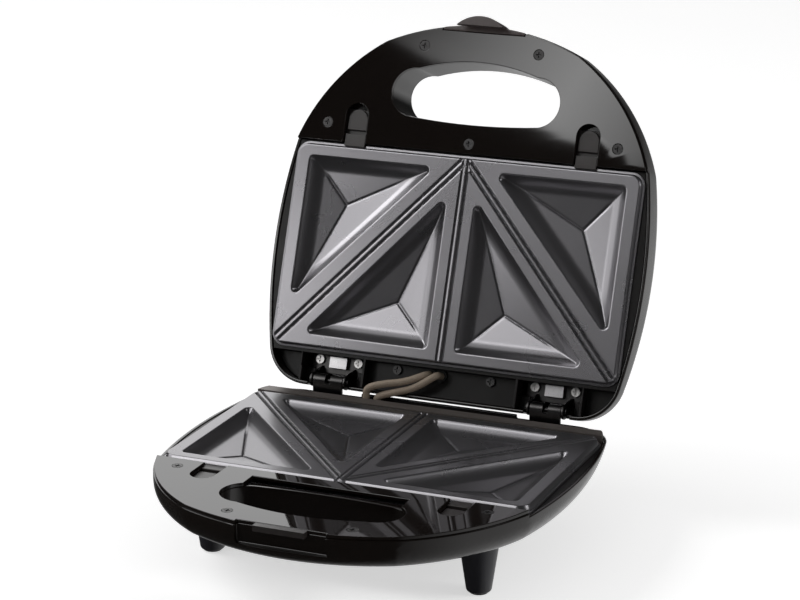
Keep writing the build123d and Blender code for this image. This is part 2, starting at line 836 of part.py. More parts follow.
# Panels, frames, plates, trays and elements, alike in both halves
base_panel = make_panel(base_face, panel_screws, catch_recess, True)
write_piece(base_panel, "base_panel")
lid_panel = make_panel(lid_face, lid_screws, panel_recess, False)
write_piece(lid_panel, "lid_panel")
base_frame = make_frame(base_face, base_inside, strip_front - rib, (strip_front, trough_drop))
lid_frame = make_frame(lid_face, lid_inside, -reach, (hinge_cut_front, reach))
for name, face in (("base", base_face), ("lid", lid_face)):
    write_piece(make_plate(face), f"{name}_plate")
    write_piece(make_tray(face), f"{name}_heat_tray")
    write_piece(make_element(face), f"{name}_element")
    write_piece(make_insulators(face), f"{name}_element_insulators")
    for x, side in ((-slot_x, "left"), (slot_x, "right")):
        if face is lid_face:
            x = -x
        write_piece(make_clip(face, x), f"{name}_clip_{side}")

# Cover over the base's trough: an angle of thin sheet that stands on the frame behind the plate
with BuildPart() as trough_cover:
    raise_from(base_face, cover_top, block(-reach, reach, cover_rear, trough_front), cover_thick)
    web = block(-reach, reach, trough_front - cover_thick, trough_front)
    raise_from(base_face, cover_top, web, frame_top - cover_top)
    add(base_inside, mode=Mode.INTERSECT)
write_piece(trough_cover, "trough_cover")

# Screws of the panels, trays and frames
for name, face, places in (("base", base_face, panel_screws), ("lid", lid_face, lid_screws)):
    panel_set = drive_screws(face, places, parting_gap, screw_head, screw_head_thick, screw_length)
    write_piece(panel_set, f"{name}_panel_screws")
    head_top = tray_drop - pan_thick
    tray_set = drive_screws(face, tray_screws, head_top, pan_head, pan_thick, tray_screw_length)
    write_piece(tray_set, f"{name}_tray_screws")
    rear_top = trough_drop - pan_thick
    front = drive_screws(face, front_frame_screws, frame_top, screw_head, screw_head_thick, screw_length)
    rear = drive_screws(face, rear_frame_screws, rear_top, pan_head, pan_thick, screw_length - rib)
    with BuildPart() as frame_set:
        add(front.part)
        add(rear.part)
    write_piece(frame_set, f"{name}_frame_screws")

# Hinges
for x, side in ((-hinge_x, "left"), (hinge_x, "right")):
    write_piece(make_leaf(x), f"hinge_leaf_{side}")
    write_piece(make_bracket(x), f"hinge_bracket_{side}")
write_piece(make_hinge_pins(), "hinge_pins")
head_top = trough_drop - leaf_thick - pan_thick
leaf_set = drive_screws(base_face, leaf_screws, head_top, pan_head, pan_thick, leaf_screw_length)
write_piece(leaf_set, "hinge_leaf_screws")
head_top = bracket_drop - pan_thick
bracket_set = drive_screws(lid_face, bracket_screws, head_top, pan_head, pan_thick, screw_length)
write_piece(bracket_set, "hinge_bracket_screws")

# Catch bar on the base
with BuildPart() as catch:
    bar = block(-catch_x, catch_x, catch_recess, catch_front)
    raise_from(base_face, catch_top, bar, catch_bottom - catch_top)
write_piece(catch, "catch_bar")

# Latch on the lid: a plate on a barrel, with a domed grip that ends in a hook under the catch bar
half_latch = recess_x - latch_gap
with BuildPart() as latch:
    with BuildSketch(lid_face(latch_gap)) as plate_plan:
        add(housing_outline(fit_gap))
        add(block(-half_latch, half_latch, latch_back, latch_front), mode=Mode.INTERSECT)
    extrude(plate_plan.sketch, amount=latch_top - latch_gap)
    with BuildSketch(lid_side(half_latch)) as barrel:
        with Locations((latch_pin_y, latch_pin_drop - axis_rise)):
            Circle(barrel_radius)
    extrude(barrel.sketch, amount=half_latch - barrel_gap)
    with BuildSketch(lid_side(-barrel_gap)) as barrel:
        with Locations((latch_pin_y, latch_pin_drop - axis_rise)):
            Circle(barrel_radius)
    extrude(barrel.sketch, amount=half_latch - barrel_gap)
    with BuildSketch(lid_face(-grip_reach)) as grip:
        with BuildLine():
            ThreePointArc((-grip_x, grip_side), (0, grip_front), (grip_x, grip_side))
            Polyline((grip_x, grip_side), (grip_x, latch_back), (-grip_x, latch_back), (-grip_x, grip_side))
        make_face()
    extrude(grip.sketch, amount=grip_reach + grip_top)
    mouth = catch_front + latch_gap
    behind_hook = block(-reach, reach, -reach, mouth - hook_reach)
    raise_from(lid_face, -reach, behind_hook, reach + latch_gap, Mode.SUBTRACT)
    hook_top = catch_bottom + latch_gap
    over_bar = block(-reach, reach, -reach, mouth)
    raise_from(lid_face, -hook_top, over_bar, hook_top + latch_gap, Mode.SUBTRACT)
    with BuildSketch(lid_side(reach / 2)) as pin_bore:
        with Locations((latch_pin_y, latch_pin_drop - axis_rise)):
            Circle(latch_pin_radius + pin_fit)
    extrude(pin_bore.sketch, amount=reach, mode=Mode.SUBTRACT)
write_piece(latch, "latch")

with BuildPart() as latch_pin:
    with BuildSketch(lid_side(latch_pin_end)) as rod:
        with Locations((latch_pin_y, latch_pin_drop - axis_rise)):
            Circle(latch_pin_radius)
    extrude(rod.sketch, amount=2 * latch_pin_end)
write_piece(latch_pin, "latch_pin")

with BuildPart() as latch_spring:
    with BuildSketch(lid_side(leaf_spring_half)) as strip:
        with BuildLine() as leaf_line:
            middle = leaf_spring_thick / 2
            Polyline(
                (latch_recess + middle, leaf_spring_start - axis_rise),
                (latch_recess + middle, leaf_spring_bend - axis_rise),
                (latch_back - fit_gap / 2 - middle, leaf_spring_tip - axis_rise),
            )
        trace(line_width=leaf_spring_thick)
    extrude(strip.sketch, amount=2 * leaf_spring_half)
write_piece(latch_spring, "latch_spring")

# Feet with their screws and pads
with BuildPart() as feet:
    for x, y in foot_places:
        add(make_foot(x, y).part)
write_piece(feet, "feet")
with BuildPart() as foot_screw_set:
    raise_from(base_face, foot_screw_drop, circles(foot_places, screw_head), screw_head_thick)
    shank = foot_screw_drop - foot_screw_top
    raise_from(base_face, foot_screw_top, circles(foot_places, screw_shank), shank)
    with BuildSketch(base_face(foot_screw_drop + screw_head_thick)) as crosses:
        with Locations(*foot_places):
            Rectangle(cross_span, cross_width)
            Rectangle(cross_width, cross_span)
    extrude(crosses.sketch, amount=-cross_depth, mode=Mode.SUBTRACT)
write_piece(foot_screw_set, "foot_screws")
with BuildPart() as foot_pads:
    pads = circles(foot_places, foot_pad_radius)
    raise_from(base_face, parting_height - foot_pad_thick, pads, foot_pad_thick)
write_piece(foot_pads, "foot_pads")

# Lamps in the top of the lid
crown_drop = (lamp_x**2 + (lamp_y - plan_centre) ** 2) / (2 * lid_crown)
lens_top = lid_depth - crown_drop + lens_stand
for place, colour in zip(lamp_places, ("green", "red")):
    with BuildPart() as lens:
        raise_from(lid_face, lens_bottom, circles([place], lens_collar))
        add(lid_hollow, mode=Mode.INTERSECT)
        raise_from(lid_face, lens_bottom, circles([place], lens_radius), lens_top - lens_bottom)
        bore = circles([place], lens_bore)
        raise_from(lid_face, lens_bottom, bore, lens_top - lens_skin - lens_bottom, Mode.SUBTRACT)
        outwards = Axis(lid_face().origin, lid_face().z_dir)
        fillet(lens.faces().sort_by(outwards)[-1].edges(), lens_edge)
    write_piece(lens, f"lamp_lens_{colour}")
with BuildPart() as lamps:
    raise_from(lid_face, lamp_bottom, circles(lamp_places, lamp_radius), lamp_length)
write_piece(lamps, "lamps")
with BuildPart() as lamp_holder:
    half_holder = lens_radius + holder_margin
    edge = lamp_x + half_holder
    outline = block(-edge, edge, lamp_y - half_holder, lamp_y + half_holder)
    raise_from(lid_face, lens_bottom - holder_thick, outline, holder_thick)
    raise_from(lid_face, 0, circles(lamp_places, lamp_radius + pin_fit), mode=Mode.SUBTRACT)
write_piece(lamp_holder, "lamp_holder")

# Thermostat and thermal fuse under the base's tray
with BuildPart() as thermostat:
    can = circles([(0, thermostat_y)], thermostat_radius)
    raise_from(base_face, tray_drop + tray_thick, can, thermostat_height)
write_piece(thermostat, "thermostat")
with BuildPart() as thermal_fuse:
    with BuildSketch(base_side(fuse_x + fuse_length / 2)) as sleeve:
        with Locations((fuse_y, -axis_rise - tray_drop - tray_thick - fuse_radius)):
            Circle(fuse_radius)
    extrude(sleeve.sketch, amount=fuse_length)
write_piece(thermal_fuse, "thermal_fuse")

# Rubber inlet for the mains lead
with BuildPart() as inlet:
    with BuildSketch(cross_plane(base_face, inlet_x, rear_y + edge_round / 2, inlet_drop)) as flange:
        Circle(inlet_flange)
    extrude(flange.sketch, amount=rear_y + edge_round / 2 - inlet_rear)
    add(base_form, mode=Mode.SUBTRACT)
    with BuildSketch(cross_plane(base_face, inlet_x, inlet_front, inlet_drop)) as tube:
        Circle(inlet_radius)
    extrude(tube.sketch, amount=inlet_front - inlet_rear)
    with BuildSketch(cross_plane(base_face, inlet_x, inlet_front, inlet_drop)) as bore:
        Circle(inlet_bore)
    extrude(bore.sketch, amount=inlet_front - inlet_rear, mode=Mode.SUBTRACT)
write_piece(inlet, "lead_inlet")

# Sleeved lead from the base's rear strip to the lid's trough, held by a rubber bush at each end
lead_starts = ((-43.7, 4.8), (-36.6, 4.8))
lead_ends = ((-8, 11.6), (-1.5, 11.6))
strip_low = -axis_rise - rim_drop - frame_thick
floor_high = trough_drop + rib - axis_rise
lean = radians(open_angle)


def lid_point(x, ahead, height):
    """Place in the open lid, given as in the closed one: across, ahead of the axis and above it."""
    return (x, ahead * cos(lean) - height * sin(lean), ahead * sin(lean) + height * cos(lean))


first_strand = make_strand([
    (*lead_starts[0], strip_low), (*lead_starts[0], 0.5), (-33, 4.2, 4.2), (-20, 1.5, 6),
    lid_point(*lead_ends[0], 0.5), lid_point(*lead_ends[0], floor_high),
])
second_strand = make_strand([
    (*lead_starts[1], strip_low), (*lead_starts[1], -4.1), (-27, 5, -0.6), (-13.5, 1, 2.7),
    lid_point(*lead_ends[1], -1.5), lid_point(*lead_ends[1], floor_high),
])
with BuildPart() as lead:
    add(first_strand)
    add(second_strand)
write_piece(lead, "joining_lead")
base_bushes = (base_face, base_frame, lead_starts, rim_drop, frame_thick)
lid_bushes = (lid_face, lid_frame, [(-x, y) for x, y in lead_ends], trough_drop, rib)
for name, (face, frame, places, drop, thick) in (("base", base_bushes), ("lid", lid_bushes)):
    with BuildPart() as bush:
        raise_from(face, drop - bush_stand, circles(places, strand_radius + bush_wall), bush_stand + thick)
        raise_from(face, drop - bush_stand, circles(places, strand_radius), reach, Mode.SUBTRACT)
    write_piece(bush, f"lead_bush_{name}")
    with frame:
        raise_from(face, 0, circles(places, strand_radius + bush_wall), drop + thick, Mode.SUBTRACT)
with base_frame:
    raise_from(base_face, 0, circles(leaf_screws, screw_shank + screw_clear), mode=Mode.SUBTRACT)
write_piece(base_frame, "base_frame")
write_piece(lid_frame, "lid_frame")
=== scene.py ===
"""An open sandwich toaster: finishes, rounded edges, plates, lead, lights and camera around its frame."""

import json
from math import radians

import bpy
import numpy as np
from mathutils import Matrix, Vector

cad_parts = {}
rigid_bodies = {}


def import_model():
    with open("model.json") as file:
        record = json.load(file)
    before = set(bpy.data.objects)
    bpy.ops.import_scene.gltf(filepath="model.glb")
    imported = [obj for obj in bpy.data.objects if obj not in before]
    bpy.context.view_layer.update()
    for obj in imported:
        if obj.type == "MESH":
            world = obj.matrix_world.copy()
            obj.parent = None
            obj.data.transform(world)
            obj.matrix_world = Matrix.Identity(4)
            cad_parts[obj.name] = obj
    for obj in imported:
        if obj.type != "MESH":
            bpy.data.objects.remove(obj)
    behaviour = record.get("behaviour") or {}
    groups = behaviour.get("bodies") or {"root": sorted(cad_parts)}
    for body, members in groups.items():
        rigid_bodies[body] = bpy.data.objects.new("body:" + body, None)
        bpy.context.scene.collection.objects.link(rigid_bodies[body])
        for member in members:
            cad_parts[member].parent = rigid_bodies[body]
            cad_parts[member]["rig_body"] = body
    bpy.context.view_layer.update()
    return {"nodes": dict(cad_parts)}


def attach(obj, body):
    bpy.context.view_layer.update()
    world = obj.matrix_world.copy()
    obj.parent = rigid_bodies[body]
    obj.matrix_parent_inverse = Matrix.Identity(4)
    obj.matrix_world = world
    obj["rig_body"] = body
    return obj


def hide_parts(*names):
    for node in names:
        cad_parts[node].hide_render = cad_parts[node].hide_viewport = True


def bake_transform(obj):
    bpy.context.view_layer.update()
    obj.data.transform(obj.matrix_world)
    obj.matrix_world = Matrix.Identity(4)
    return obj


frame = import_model()

# The camera stands to the right of the open toaster, a little above it, and looks down onto both plates.
# Its lens is a long one, as in a catalogue picture.
lens = 122.2
camera_place = (0.57426, -1.36125, 0.57761)
camera_turn = (radians(73.35), 0, radians(22.8))
bpy.ops.object.select_all(action="DESELECT")
bpy.ops.object.camera_add(location=camera_place, rotation=camera_turn)
camera = bpy.context.object
camera.data.lens = lens
camera.data.clip_end = 50
bpy.context.scene.camera = camera
bpy.context.scene.view_settings.view_transform = "Standard"


class Tone:
    """A socket of a finish, so that its shader maths reads as plain arithmetic."""

    def __init__(self, tree, socket):
        self.tree = tree
        self.socket = socket

    def node(self, kind, settings=None, inputs=None, output=0):
        """Any other node: its settings come first, then the values or links of its sockets."""
        made = self.tree.nodes.new("ShaderNode" + kind)
        for name, value in (settings or {}).items():
            setattr(made, name, value)
        for name, value in (inputs or {}).items():
            if isinstance(value, Tone):
                self.tree.links.new(value.socket, made.inputs[name])
            else:
                made.inputs[name].default_value = value
        return Tone(self.tree, made.outputs[output])

    def maths(self, operation, first, second):
        return self.node("Math", {"operation": operation}, {0: first, 1: second})

    def __add__(self, other):
        return self.maths("ADD", self, other)

    __radd__ = __add__

    def __sub__(self, other):
        return self.maths("SUBTRACT", self, other)

    def __rsub__(self, other):
        return self.maths("SUBTRACT", other, self)

    def __mul__(self, other):
        return self.maths("MULTIPLY", self, other)

    __rmul__ = __mul__

    def __abs__(self):
        return self.maths("ABSOLUTE", self, 0)

    def along(self, direction):
        """How far a place or a ray reaches in a direction."""
        return self.node("VectorMath", {"operation": "DOT_PRODUCT"}, {0: self, 1: direction}, output=1)

    def noise(self, scale, detail=2.0, roughness=0.5, stretch=(1, 1, 1)):
        """Cloudy pattern of 0 to 1 at this many cells to the metre, longer where the stretch is small."""
        placed = self.node("Mapping", {}, {"Vector": self, "Scale": stretch})
        cells = {"Vector": placed, "Scale": scale, "Detail": detail, "Roughness": roughness}
        return self.node("TexNoise", {}, cells)

    def between(self, low, high):
        """Spreads 0 to 1 over this range, cut off at both ends."""
        return self.node("MapRange", {}, {"Value": self, "From Min": low, "From Max": high})

    def blend(self, first, second):
        """Colour between two colours."""
        tones = {"Factor": self, 6: first, 7: second}
        return self.node("Mix", {"data_type": "RGBA"}, tones, output=2)

    def bump(self, height):
        """Normals of a surface that rises by the height, in metres, where this is 1."""
        return self.node("Bump", {}, {"Height": self, "Distance": height, "Strength": 1.0})


def new_finish(name, plain):
    """A material with plain values on its shader, and the place on the piece to draw patterns from."""
    made = bpy.data.materials.new(name)
    made.use_nodes = True
    shader = made.node_tree.nodes["Principled BSDF"]
    for socket, value in plain.items():
        shader.inputs[socket].default_value = value
    coordinates = made.node_tree.nodes.new("ShaderNodeTexCoord")
    return made, shader, Tone(made.node_tree, coordinates.outputs["Object"])


def feed(shader, tones):
    """Links tones to the shader's sockets."""
    for socket, tone in tones.items():
        tone.tree.links.new(tone.socket, shader.inputs[socket])


# Floor: a matt white table that fades into the backdrop and keeps the toaster's soft shadow.
# It glows for the camera alone, so that it looks white with no more light on the toaster.
floor_size = 14
floor_glow_strength = 0.58
bpy.ops.object.select_all(action="DESELECT")
bpy.ops.mesh.primitive_plane_add(size=floor_size)
floor = bpy.context.object
floor.name = "floor"
floor.visible_glossy = False
floor_finish, floor_shader, floor_place = new_finish("floor", {"Roughness": 0.9, "Specular IOR Level": 0.1})
feed(floor_shader, {"Base Color": floor_place.noise(3).blend((0.83, 0.83, 0.83, 1), (0.86, 0.86, 0.86, 1))})
floor_matt = Tone(floor_finish.node_tree, floor_shader.outputs[0])
floor_glow = floor_place.node("Emission", {}, {"Color": (1, 1, 1, 1), "Strength": floor_glow_strength})
floor_bright = floor_place.node("AddShader", {}, {0: floor_matt, 1: floor_glow})
floor_camera = floor_place.node("LightPath")
floor_mix = floor_place.node("MixShader", {}, {0: floor_camera, 1: floor_matt, 2: floor_bright})
feed(floor_finish.node_tree.nodes["Material Output"], {"Surface": floor_mix})
floor.data.materials.append(floor_finish)

# Room: a white backdrop for the camera and through glass. Gloss sees it behind the toaster and the white floor
# to the right, in a room that is otherwise dark, as round any gloss black in a catalogue picture.
# A card of light with a sloping edge shows in the lid's panel, and three soft boxes light edges and pockets.
sky_light = 0.3
room_dark = 0.03
backdrop_light = 1.75
floor_light = 0.75
card_light = 5.4
card_fall = 0.75
high_box_light = 4.2
left_box_light = 1.9
edge_box_light = 1.5
card_slope = (0.4037, 0.2912, 0.8673)
card_run = (0.8448, -0.4825, -0.2313)
world = bpy.data.worlds.new("sky")
world.use_nodes = True
bpy.context.scene.world = world
background = world.node_tree.nodes["Background"]
background.inputs["Color"].default_value = (1, 1, 1, 1)
path = world.node_tree.nodes.new("ShaderNodeLightPath")
compass = world.node_tree.nodes.new("ShaderNodeTexCoord")
camera_ray = Tone(world.node_tree, path.outputs["Is Camera Ray"])
glossy_ray = Tone(world.node_tree, path.outputs["Is Glossy Ray"])
clear_ray = Tone(world.node_tree, path.outputs["Is Transmission Ray"])
ray = Tone(world.node_tree, compass.outputs["Generated"])

backdrop = ray.along((-0.46, 0.83, 0.32)).between(0.93, 0.955) * backdrop_light
card_edge = ray.along(card_slope).between(-0.0004, 0.0012)
card_end = 1 - ray.along(card_slope).between(0.045, 0.06)
card_along = ray.along(card_run)
card_shade = card_along.between(-0.05, 0.028) * (1 - card_along.between(0.028, 0.075) * card_fall)
card_near = ray.along((-0.36, -0.83, 0.43)).between(0.95, 0.97)
card = card_edge * card_end * card_shade * card_near * card_light
high_box = ray.along((-0.42, -0.62, 0.66)).between(0.965, 0.985) * high_box_light
left_box = ray.along((-0.85, -0.40, 0.33)).between(0.88, 0.95) * left_box_light
edge_box = ray.along((-0.36, -0.31, 0.88)).between(0.985, 0.995) * edge_box_light
floor_right = ray.along((0.75, 0.66, 0)).between(-0.1, 0.6)
floor_below = ray.along((0, 0, -1)).between(0.02, 0.25) * floor_right * floor_light
room = backdrop + room_dark + card + high_box + left_box + edge_box + floor_below
seen = camera_ray + clear_ray
feed(background, {"Strength": seen + (1 - seen) * (glossy_ray * room + (1 - glossy_ray) * sky_light)})

# Lamps: two large soft boxes, high at the left and low at the right, and a small one low at the left.
# The small one shows only as a sheen on the lid's plate.
toaster_middle = (0, 0, 0.12)
lid_plate_middle = (-0.1, 0.08, 0.14)
for name, place, aim, width, height, power in (
    ("soft_box_left", (-1.9, -0.1, 1.7), toaster_middle, 1.2, 1.0, 20),
    ("soft_box_right", (1.9, 0.3, 1.2), toaster_middle, 0.8, 1.2, 10),
    ("plate_light", (-0.46, -0.57, 0.39), lid_plate_middle, 0.14, 0.14, 0.35),
):
    bpy.ops.object.select_all(action="DESELECT")
    bpy.ops.object.light_add(type="AREA", location=place)
    lamp = bpy.context.object
    lamp.name = name
    lamp.data.shape = "RECTANGLE"
    lamp.data.size = width
    lamp.data.size_y = height
    lamp.data.energy = power
    lamp.rotation_euler = (Vector(aim) - Vector(place)).to_track_quat("-Z", "Y").to_euler()

# Housings: one shell for each half, moulded in glossy black phenolic with a warm brown cast and round edges.
# The mould leaves a very faint orange peel, and hands a few dull smudges.
same_point = 1e-6
same_face = radians(0.3)
sharp_edge = radians(32)


def rounded(node, width, finish):
    """Copy of a CAD node with its triangles joined and its sharp edges rounded, which stands for the node."""
    source = frame["nodes"][node]
    piece = bpy.data.objects.new(node + "_piece", source.data.copy())
    bpy.context.scene.collection.objects.link(piece)
    bpy.ops.object.select_all(action="DESELECT")
    piece.select_set(True)
    bpy.context.view_layer.objects.active = piece
    bpy.ops.object.mode_set(mode="EDIT")
    bpy.ops.mesh.select_all(action="SELECT")
    bpy.ops.mesh.remove_doubles(threshold=same_point)
    bpy.ops.mesh.dissolve_limited(angle_limit=same_face)
    bpy.ops.object.mode_set(mode="OBJECT")
    edges = piece.modifiers.new("edges", "BEVEL")
    edges.width = width
    edges.segments = 2
    edges.limit_method = "ANGLE"
    edges.angle_limit = sharp_edge
    edges.use_clamp_overlap = False
    edges.loop_slide = False
    bpy.ops.object.modifier_apply(modifier=edges.name)
    bpy.ops.object.shade_smooth_by_angle(angle=sharp_edge)
    flat = piece.modifiers.new("flat_faces", "WEIGHTED_NORMAL")
    flat.weight = 100
    flat.keep_sharp = True
    bpy.ops.object.modifier_apply(modifier=flat.name)
    piece.data.materials.clear()
    piece.data.materials.append(finish)
    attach(piece, source["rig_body"])
    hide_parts(node)


casing, casing_shader, casing_place = new_finish("casing", {"Specular IOR Level": 0.5, "IOR": 1.5})
casing_smudge = casing_place.noise(28, 3).between(0.45, 0.75)
feed(casing_shader, {
    "Base Color": casing_place.noise(40, 4).blend((0.0062, 0.0046, 0.0038, 1), (0.0095, 0.0068, 0.0056, 1)),
    "Roughness": casing_smudge * 0.08 + 0.13,
    "Normal": casing_place.noise(900, 1).bump(0.000004),
})
for node in ("base_shell", "lid_shell"):
    rounded(node, 0.0007, casing)

# Front panels: flat polished black covers round the handle openings, screwed to the housings.
# Their edges are barely broken, and wiping has left fine scuffs across them.
panel, panel_shader, panel_place = new_finish("panel", {"Specular IOR Level": 0.5, "IOR": 1.5})
panel_scuff = panel_place.noise(260, 4, 0.7, (1, 12, 1)).between(0.6, 0.85)
feed(panel_shader, {
    "Base Color": panel_place.noise(30, 3).blend((0.0068, 0.0050, 0.0042, 1), (0.0098, 0.0070, 0.0058, 1)),
    "Roughness": panel_scuff * 0.04 + 0.03,
})
for node in ("base_panel", "lid_panel"):
    rounded(node, 0.00035, panel)

# Plate frames: moulded black with a fine grain, set into the housings under the plates and beside the hinges.
# The holder of the lamps is moulded in the same plastic.


def paint(nodes, finish):
    """Gives CAD nodes their finish as they are."""
    for node in nodes:
        frame["nodes"][node].data.materials.clear()
        frame["nodes"][node].data.materials.append(finish)


frame_finish, frame_shader, frame_place = new_finish("frame", {"Specular IOR Level": 0.22})
feed(frame_shader, {
    "Base Color": frame_place.noise(60, 4).blend((0.006, 0.0052, 0.005, 1), (0.011, 0.0098, 0.0092, 1)),
    "Roughness": frame_place.noise(80, 2).between(0.3, 0.7) * 0.12 + 0.3,
    "Normal": frame_place.noise(2600, 2).bump(0.00002),
})
for node in ("base_frame", "lid_frame"):
    rounded(node, 0.0003, frame_finish)
paint(("lamp_holder",), frame_finish)

# Cover of the base's trough: a thin folded sheet, brown-grey from the heat.
# It stands on the frame behind the plate and closes the gap there.
cover_plain = {"Metallic": 0.6, "Specular IOR Level": 0.5}
cover_sheet, cover_shader, cover_place = new_finish("cover_sheet", cover_plain)
cover_tint = cover_place.noise(120, 4, 0.6, (0.3, 2, 2))
feed(cover_shader, {
    "Base Color": cover_tint.blend((0.12, 0.105, 0.098, 1), (0.2, 0.178, 0.165, 1)),
    "Roughness": cover_place.noise(700, 3, 0.6, (0.2, 6, 1)) * 0.15 + 0.38,
})
paint(("trough_cover",), cover_sheet)

# Cooking plates: cast aluminium under a satin dark grey non-stick coating with very fine flecks.
# Each has four coved triangular pockets with creased floors, and sealing ridges between double grooves.
# A sloping skirt and a thin flange run round it, and the clips hold it down by the flange.
plate_half = 0.109
plate_rear, plate_front = 0.020, 0.1415
plate_half_y = (plate_front - plate_rear) / 2
plate_middle = (plate_front + plate_rear) / 2
plate_corner = 0.006
plate_face = (396, 220)
face_drop = 0.00025
cove_depth, cove_width, cove_inner = 0.006, 0.0095, 0.006
cove_curve = 2.2
cove_lip = 0.0009
pocket_deep = 0.0085
pocket_round = 0.003
crease_depth, crease_share = 0.00055, 0.06
crease_from, crease_over = 0.15, 0.2
outer_pocket = ((0.1016, 0.1354), (0.0186, 0.1354), (0.1016, 0.0457), (0.076, 0.1075))
inner_pocket = ((0.0088, 0.1195), (0.0905, 0.0265), (0.0087, 0.0262), (0.0343, 0.052))
ridge_half = 0.0013
ridge_rise = 0.00018
groove_width, groove_depth = 0.0011, 0.0009
rim_steps = (
    (0.0002, 0.0004), (0.00115, 0.0033), (0.0023, 0.0034), (0.0024, 0.0036), (0.0024, 0.0046),
    (-0.0016, 0.0046), (-0.0016, 0.00275),
)
under_face = (56, 32)
under_inset = 0.0016
under_drop = 0.00275


def edge_distances(x, y, corners):
    """Distance of each point from the three sides of a triangle, positive inside."""
    middle_x = sum(corner[0] for corner in corners) / 3
    middle_y = sum(corner[1] for corner in corners) / 3
    distances = []
    for (ax, ay), (bx, by) in zip(corners, corners[1:] + corners[:1]):
        length = np.hypot(bx - ax, by - ay)
        across_x, across_y = (ay - by) / length, (bx - ax) / length
        if (middle_x - ax) * across_x + (middle_y - ay) * across_y < 0:
            across_x, across_y = -across_x, -across_y
        distances.append((x - ax) * across_x + (y - ay) * across_y)
    return distances


def rounded_inside(x, y, corners, radius):
    """Depth inside a triangle whose corners are rounded, from its outline."""
    inside = np.minimum.reduce(edge_distances(x, y, corners))
    for corner, (ax, ay) in enumerate(corners):
        sides = []
        for other in (corner - 1, corner - 2):
            bx, by = corners[other]
            length = np.hypot(bx - ax, by - ay)
            sides.append(((bx - ax) / length, (by - ay) / length))
        (ux, uy), (vx, vy) = sides
        half_angle = np.arccos(np.clip(ux * vx + uy * vy, -1, 1)) / 2
        bisector = np.hypot(ux + vx, uy + vy)
        reach = radius / np.sin(half_angle)
        from_x = x - (ax + (ux + vx) / bisector * reach)
        from_y = y - (ay + (uy + vy) / bisector * reach)
        near = (from_x * ux + from_y * uy < 0) & (from_x * vx + from_y * vy < 0)
        inside = np.where(near, radius - np.hypot(from_x, from_y), inside)
    return inside


def plate_depth(x, ahead):
    """Depth of the plate's surface below its land, which is negative on the ridges."""
    depth = np.zeros_like(x)
    side = np.abs(x)
    for *corners, deep in (outer_pocket, inner_pocket):
        corners = tuple(corners)
        inside = rounded_inside(side, ahead, corners, pocket_round)
        rise = np.clip(inside / cove_width, 0, 1)
        cove = cove_depth * (1 - (1 - rise) ** cove_curve) * np.clip(inside / cove_lip, 0, 1) ** 0.5
        slopes = edge_distances(side, ahead, corners)
        lowest = edge_distances(np.float64(deep[0]), np.float64(deep[1]), corners)
        shares = [(slope - cove_inner) / (low - cove_inner) for slope, low in zip(slopes, lowest)]
        ranked = np.sort(np.stack(shares), axis=0)
        facets = np.clip(ranked[0], 0, 1) * (pocket_deep - cove_depth)
        crease = np.clip(1 - ((ranked[1] - ranked[0]) / crease_share) ** 2, 0, 1)
        crease = crease * np.clip((ranked[0] - crease_from) / crease_over, 0, 1) * crease_depth
        depth = np.maximum(depth, cove + np.where(inside > 0, facets + crease, 0))
    length = plate_front - plate_rear
    slant = np.abs((side * length + (ahead - plate_front) * plate_half) / np.hypot(plate_half, length))
    for away in (slant, side):
        groove = np.clip(1 - ((away - ridge_half - groove_width / 2) / (0.75 * groove_width)) ** 2, 0, 1)
        ridge = np.clip(1 - (away / ridge_half) ** 2, 0, 1)
        depth = np.where(groove > 0, np.maximum(depth, groove_depth * groove ** 1.5), depth)
        depth = np.where(away < ridge_half * 0.7, -ridge_rise * np.sqrt(ridge), depth)
    return depth


def round_corners(x, y, half_x, half_y, radius):
    """Moves the points of a rectangle so that its corners are round."""
    from_x = np.abs(x) - (half_x - radius)
    from_y = np.abs(y) - (half_y - radius)
    corner = (from_x > 0) & (from_y > 0)
    reach = np.hypot(from_x, from_y)
    scale = np.where(corner, np.maximum(from_x, from_y) / np.where(corner, reach, 1), 1)
    new_x = np.where(corner, np.sign(x) * (half_x - radius + from_x * scale), x)
    new_y = np.where(corner, np.sign(y) * (half_y - radius + from_y * scale), y)
    return new_x, new_y


def get_points(mesh):
    points = np.empty(len(mesh.vertices) * 3)
    mesh.vertices.foreach_get("co", points)
    return points.reshape(-1, 3)


def set_points(mesh, points):
    mesh.vertices.foreach_set("co", points.ravel())
    mesh.update()


def outward_of(x, y, half_x, half_y, radius):
    """Direction out of the rounded outline at points on it."""
    from_x = np.abs(x) - (half_x - radius)
    from_y = np.abs(y) - (half_y - radius)
    corner = (from_x > 1e-7) & (from_y > 1e-7)
    on_end = np.abs(np.abs(x) - half_x) < np.abs(np.abs(y) - half_y)
    out_x = np.where(corner, from_x, np.where(on_end, 1, 0))
    out_y = np.where(corner, from_y, np.where(on_end, 0, 1))
    length = np.hypot(out_x, out_y)
    return np.sign(x) * out_x / length, np.sign(y) * out_y / length


def face_grid(columns, rows, inset):
    """Grid of a plate's outline, less the inset all round, and its points."""
    bpy.ops.object.select_all(action="DESELECT")
    bpy.ops.mesh.primitive_grid_add(x_subdivisions=columns, y_subdivisions=rows, size=2)
    face = bpy.context.object
    points = get_points(face.data)
    half_x, half_y = plate_half - inset, plate_half_y - inset
    x, y = round_corners(points[:, 0] * half_x, points[:, 1] * half_y, half_x, half_y, plate_corner - inset)
    points[:, 0], points[:, 1] = x, y
    return face, points


